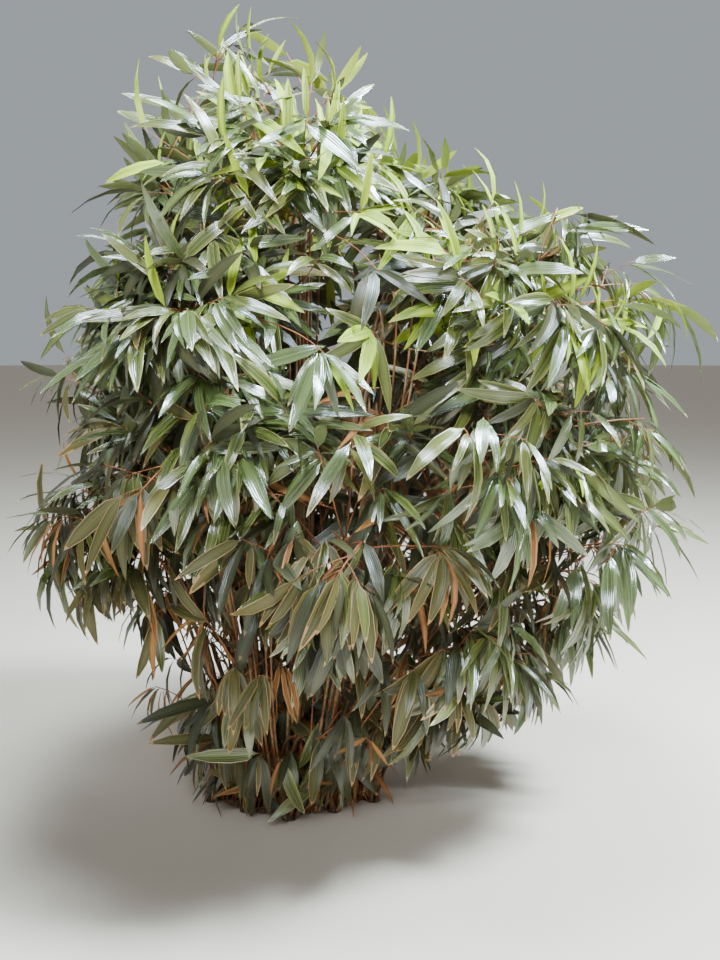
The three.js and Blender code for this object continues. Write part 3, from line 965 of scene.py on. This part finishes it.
class LeafForm:
    """The faces of one leaf: strips along its top round a rib, some with an edge, and its underside."""

    def __init__(self, edged):
        self.edged = edged
        tops = ("side", "blade", "rib", "blade", "side")
        tops = ("edge", *tops, "edge") if edged else tops
        self.columns = len(tops) + 2
        strips = [(k, k + 1, part) for k, part in enumerate(tops)]
        strips += [(len(tops), len(tops) + 1, "under"), (len(tops) + 1, 0, "under")]
        self.bands = len(STATIONS) - 1
        self.tip = self.columns * self.bands
        self.quads, self.triangles = [], []
        for band in range(self.bands):
            base = self.columns * band
            for a, b, part in strips:
                face = (base + b, base + a, base + self.columns + a, base + self.columns + b)
                if band < self.bands - 1:
                    self.quads.append((face, part, band))
                else:
                    self.triangles.append(((base + b, base + a, self.tip), part, band))

    def across(self):
        """Where each column lies from one edge of the leaf to the other, with the underside's last."""
        if not self.edged:
            return (0.0, *BLADE_ACROSS, 1.0, 0.5)
        left, right = EDGES_ACROSS
        return (0.0, left, *BLADE_ACROSS, right, 1.0, 0.5)

    def offsets(self, reach):
        """How far each top column lies from the middle line, for leaves that reach so far each way."""
        rib = np.minimum(RIB_HALF_WIDTH, reach * WIDEST_RIB)
        half = reach * MID_BLADE
        if not self.edged:
            return (-reach, -half, -rib, rib, half, reach)
        inner = np.maximum(reach - EDGE_WIDTH, reach * INNERMOST_EDGE)
        return (-reach, -inner, -half, -rib, rib, half, inner, reach)

    def corners(self, leaves):
        """The corners of every leaf, station by station, with the tip last."""
        keys = ("foot", "direction", "normal", "length", "width", "twist", "fold", "arch")
        columns = (np.array([leaf[key] for leaf in leaves], float) for key in keys)
        foot, direction, normal, length, width, twist, fold, arch = columns
        side = np.cross(normal, direction)
        rows = []
        for at, half in zip(STATIONS, HALF_WIDTHS):
            bend = (arch * at)[:, None]
            along = np.sin(bend) / arch[:, None] * length[:, None]
            down = (1 - np.cos(bend)) / arch[:, None] * length[:, None]
            centre = foot + direction * along - normal * down
            if half == 0:
                rows.append(centre[:, None, :])
                continue
            up = direction * np.sin(bend) + normal * np.cos(bend)
            turn = (twist * at)[:, None]
            across = side * np.cos(turn) + up * np.sin(turn)
            raised = up * np.cos(turn) - side * np.sin(turn)
            rows.append(self.station(centre, across, raised, width / 2 * half, fold))
        return np.concatenate(rows, axis=1)

    def station(self, centre, across, raised, reach, fold):
        """The corners of every leaf at one station: across its folded top, then below its middle."""
        row = []
        for offset in self.offsets(reach):
            rise = np.abs(offset) * np.tan(fold) * (FOLD_AT_RIB - FOLD_EASES * np.abs(offset) / reach)
            row.append(centre + across * offset[:, None] + raised * rise[:, None])
        row.append(centre - raised * BLADE_THICKNESS)
        return np.stack(row, axis=1)

    def looks(self, faces, leaves, kind):
        """The material of each face of each leaf. Its margin and its tip may have dried."""
        parts = np.array([part for _, part, _ in faces])[None, :]
        bands = np.array([band for _, _, band in faces])[None, :]
        tint = np.array([leaf["tint"] for leaf in leaves])[:, None]
        draw = np.array([leaf["tip"] for leaf in leaves])[:, None]
        look = LOOK_PARTS.index
        found = np.full((len(leaves), len(faces)), look("under"))
        for part in ("rib", "edge"):
            found = np.where(parts == part, look(part), found)
        found = np.where(parts == "blade", tint, found)
        is_fresh_margin = (parts == "edge") & (draw > DRY_MARGINS.get(kind, 0))
        found = np.where((parts == "side") | is_fresh_margin, (tint + 1) % 3, found)
        last = self.bands - 1
        is_outer = (parts == "side") | (parts == "edge")
        dries_long = draw < DRY_TIPS[kind] * LONG_DRY_TIPS
        found = np.where(dries_long & is_outer & (bands == last - 1), look("tip"), found)
        dries = draw < DRY_TIPS[kind]
        return np.where(dries & (parts != "under") & (bands == last), look("tip"), found)

    def uv_rows(self, faces):
        """The place across and along the blade of each corner of its faces."""
        places = [(across, along) for along in STATIONS[:-1] for across in self.across()]
        places.append((0.5, 1.0))
        return np.array([places[corner] for face, _, _ in faces for corner in face])

    def rim(self, ends):
        """Which edges run along the rim of a leaf, from the two corners that each joins."""
        local = ends.reshape(-1, 2) % (self.tip + 1)
        column = np.where(local == self.tip, -1, local % self.columns)
        found = np.zeros(len(column), bool)
        for k in (0, self.columns - 2):
            found |= ((column == k) | (column == -1)).all(axis=1) & (column == k).any(axis=1)
        return found


PLAIN_LEAF = LeafForm(edged=False)
EDGED_LEAF = LeafForm(edged=True)


def add_leaf_faces(mesh, form, leaves, kind):
    """The faces of leaves, each with its place on the blade and its material."""
    count = len(leaves)
    starts = (np.arange(count) * (form.tip + 1))[:, None, None]
    loops, uvs, looks = [], [], []
    for faces in (form.quads, form.triangles):
        loops.append((starts + np.array([face for face, _, _ in faces])[None]).reshape(-1))
        uvs.append(np.tile(form.uv_rows(faces), (count, 1)))
        looks.append(form.looks(faces, leaves, kind).reshape(-1))
    quads, triangles = count * len(form.quads), count * len(form.triangles)
    mesh.loops.add(len(loops[0]) + len(loops[1]))
    mesh.loops.foreach_set("vertex_index", np.concatenate(loops))
    mesh.polygons.add(quads + triangles)
    first_loops = np.concatenate([np.arange(quads) * 4, quads * 4 + np.arange(triangles) * 3])
    mesh.polygons.foreach_set("loop_start", first_loops)
    for material in LEAF_MATERIALS[kind]:
        mesh.materials.append(material)
    mesh.update(calc_edges=True)
    mesh.polygons.foreach_set("material_index", np.concatenate(looks).astype(np.int32))
    mesh.polygons.foreach_set("use_smooth", np.ones(quads + triangles, bool))
    layer = mesh.uv_layers.new(name="blade")
    layer.data.foreach_set("uv", np.concatenate(uvs).reshape(-1).astype(np.float32))


def leaf_piece(name, leaves, kind):
    """All leaves of one kind in one ring of masses, as one mesh whose rims stay sharp."""
    form = EDGED_LEAF if kind in DRY_MARGINS else PLAIN_LEAF
    mesh = bpy.data.meshes.new(name)
    corners = form.corners(leaves).reshape(-1)
    mesh.vertices.add(len(corners) // 3)
    mesh.vertices.foreach_set("co", corners)
    add_leaf_faces(mesh, form, leaves, kind)
    ends = np.empty(len(mesh.edges) * 2, np.int32)
    mesh.edges.foreach_get("vertices", ends)
    sharp = mesh.attributes.new("sharp_edge", "BOOLEAN", "EDGE")
    sharp.data.foreach_set("value", form.rim(ends))
    return new_object(name, mesh)


def dress_masses():
    """Each ring's masses as twigs and leaves, the leaves of each kind apart."""
    for culm in CULMS:
        grow_mass(culm)
    grow_low_shoots()
    fill_bare_places()
    for tier in TIERS:
        name = tier["name"]
        nodes = [f"foliage_{name}_{k + 1}" for k in range(tier["culms"])]
        dress(twigs_of[name].piece(f"twigs_{name}", TWIG), "culm", nodes)
        for kind in LEAF_LOOKS:
            leaves = [leaf for leaf in leaves_of[name] if leaf["kind"] == kind]
            if leaves:
                piece = leaf_piece(f"leaves_{name}_{kind}", leaves, kind)
                dress(piece, LEAF_SLOTS[kind], nodes)


def companion_curve(curve, number):
    """A thinner cane that rises beside a culm and ends inside its mass."""
    turn = 2 * math.pi * next(number)
    offset = Vector((math.cos(turn), math.sin(turn), 0))
    foot = curve.start + offset * between(COMPANION["feet"], number)
    foot.z = THINNER_FOOT_HEIGHT
    bend = curve.bend + offset * between(COMPANION["bends"], number)
    end = curve.point(COMPANION["end_at"]) + offset * between(COMPANION["ends"], number)
    return Curve(foot, bend, end)


def curve_through(start, middle, end, at):
    """The curve from start to end that passes through a point at a share of its way."""
    rest = 1 - at
    bend = (middle - start * (rest * rest) - end * (at * at)) / (2 * rest * at)
    return Curve(start, bend, end)


def hollow_curve(centre, number):
    """A thin cane that rises steeply through a hollow, a little behind its middle."""
    form = HOLLOW_CANE
    behind = centre.lerp(Vector((0, 0, centre.z)), form["behind"])
    across = Vector((-centre.y, centre.x, 0)).normalized()
    aside = across * (form["aside"] * (2 * next(number) - 1))
    foot = Vector((centre.x, centre.y, 0)).normalized() * between(form["feet"], number)
    foot = foot + aside * SPREAD_AT_FOOT + UP * THINNER_FOOT_HEIGHT
    end = behind + aside * SPREAD_AT_END + UP * between(form["rises"], number)
    return curve_through(foot, behind + aside, end, form["at"])


def add_cane(canes, sheaths, curve, end, foot_radius, top_radius, number):
    """A jointed cane, with a papery sheath that still clasps most of its internodes."""
    joints = max(2, round(curve.length() * end / INTERNODE))
    points, radii = [], []
    for joint in range(joints):
        for offset, swell in CANE_PROFILE:
            share = (joint + offset) / joints
            points.append(curve.point(end * share))
            radii.append(lerp(foot_radius, top_radius, share) * swell)
    canes.add(points + [curve.point(end)], radii + [top_radius])
    for joint in range(joints):
        if next(number) < BARE_INTERNODES:
            continue
        low = (joint + CLASP_FROM) / joints
        high = (joint + between(CLASP_ENDS, number)) / joints
        shares = [lerp(low, high, at) for at in even_shares(len(CLASP_PROFILE) - 1)]
        radius = lerp(foot_radius, top_radius, low)
        sheath_radii = [radius * swell for swell in CLASP_PROFILE]
        sheaths.add([curve.point(end * at) for at in shares], sheath_radii, closed=False)


def dress_canes():
    """Each culm as a jointed cane with its sheaths, and all the thinner canes."""
    canes, sheaths = Tubes(CANE_SIDES), Tubes(CANE_SIDES)
    thinner = (CANE_FOOT_RADIUS * THINNER_FOOT, CANE_TOP_RADIUS * THINNER_TOP)
    for culm in CULMS:
        number = seeded_numbers(CANE_SEED + culm["seed"])
        curve = culm["curve"]
        add_cane(canes, sheaths, curve, culm["entry"], CANE_FOOT_RADIUS, CANE_TOP_RADIUS, number)
        for _ in range(COMPANIONS):
            add_cane(canes, sheaths, companion_curve(curve, number), 1, *thinner, number)
        grow_basal_sheaths(curve.start, number)
    number = seeded_numbers(HOLLOW_SEED)
    for *centre, _ in HOLLOWS:
        for _ in range(HOLLOW_CANES):
            add_cane(canes, sheaths, hollow_curve(Vector(centre), number), 1, *thinner, number)
    dress(canes.piece("canes", CANE), "culm", [f"culm_{culm['name']}" for culm in CULMS])
    dress(sheaths.piece("sheaths", SHEATH), "sheath")


def dress_crown():
    """The crown: a ringed, flared knuckle under each culm and in the middle, joined by rhizomes."""
    limbs = Tubes(CROWN_SIDES)
    feet = [Vector((0, 0, 0))] + [Vector((c["curve"].start.x, c["curve"].start.y, 0)) for c in CULMS]
    rings = KNUCKLE_RINGS
    heights = [KNUCKLE_HEIGHT * k / rings for k in range(rings + 1)]
    flare = [KNUCKLE_FLARE * (1 - k / rings) ** FLARE_CURVE for k in range(rings + 1)]
    radii = [KNUCKLE_RADIUS + wide + (RING_RIDGE if k % 2 else 0) for k, wide in enumerate(flare)]
    for foot in feet:
        limbs.add([foot + UP * height for height in heights], radii)
    for foot in feet[1:]:
        inner = [other for other in feet if other.length < foot.length - FURTHER_IN]
        nearest = min(inner, key=lambda other: (other - foot).length)
        points = [foot.lerp(nearest, at) for at in even_shares(RHIZOME_STEPS)]
        limbs.add(points, [RHIZOME_RADII[k % 2] for k in range(len(points))])
    above_ground = [Vector((v.x, v.y, max(v.z, 0.0))) for v in limbs.vertices]
    dress(mesh_object("crown_knuckles", above_ground, limbs.faces, CROWN), "crown", ["root_crown"])


def light_scene():
    """A pale sky of even light, and the lamps."""
    world = bpy.data.worlds.new("studio")
    bpy.context.scene.world = world
    world.use_nodes = True
    sky = world.node_tree.nodes["Background"]
    sky.inputs["Color"].default_value = (0.86, 0.93, 1.0, 1)
    sky.inputs["Strength"].default_value = 0.42
    for name, place, aim, size, spread, power, colour in LAMPS:
        lamp = bpy.data.lights.new(name, "AREA")
        lamp.size, lamp.energy, lamp.color = size, power, colour
        lamp.spread = math.radians(spread)
        holder = new_object(name, lamp)
        holder.location = place
        holder.rotation_euler = (Vector(aim) - Vector(place)).to_track_quat("-Z", "Y").to_euler()


def lay_floor():
    """A wide round floor, whose far edge looks level from every side."""
    radius, sides = 80, 64
    turns = [2 * math.pi * k / sides for k in range(sides)]
    rim = [(radius * math.cos(turn), radius * math.sin(turn), 0) for turn in turns]
    surface, _ = new_material("floor", "#d8c8b2", roughness=0.9)
    mesh_object("floor", rim, [tuple(range(sides))], surface)


def place_camera():
    """The photograph's view, 720 by 960, from in front and a little above the middle, looking down."""
    focal_pixels, long_side_pixels, looking_down = 1050, 960, 7.35
    camera = bpy.data.cameras.new("camera")
    camera.sensor_width = 36
    camera.lens = focal_pixels / long_side_pixels * camera.sensor_width
    holder = new_object("camera", camera)
    holder.location = (0.233, -3.5, 1.55)
    holder.rotation_euler = (math.radians(90 - looking_down), 0, 0)
    bpy.context.scene.camera = holder


dress_canes()
dress_masses()
dress_crown()
lay_floor()
light_scene()
place_camera()
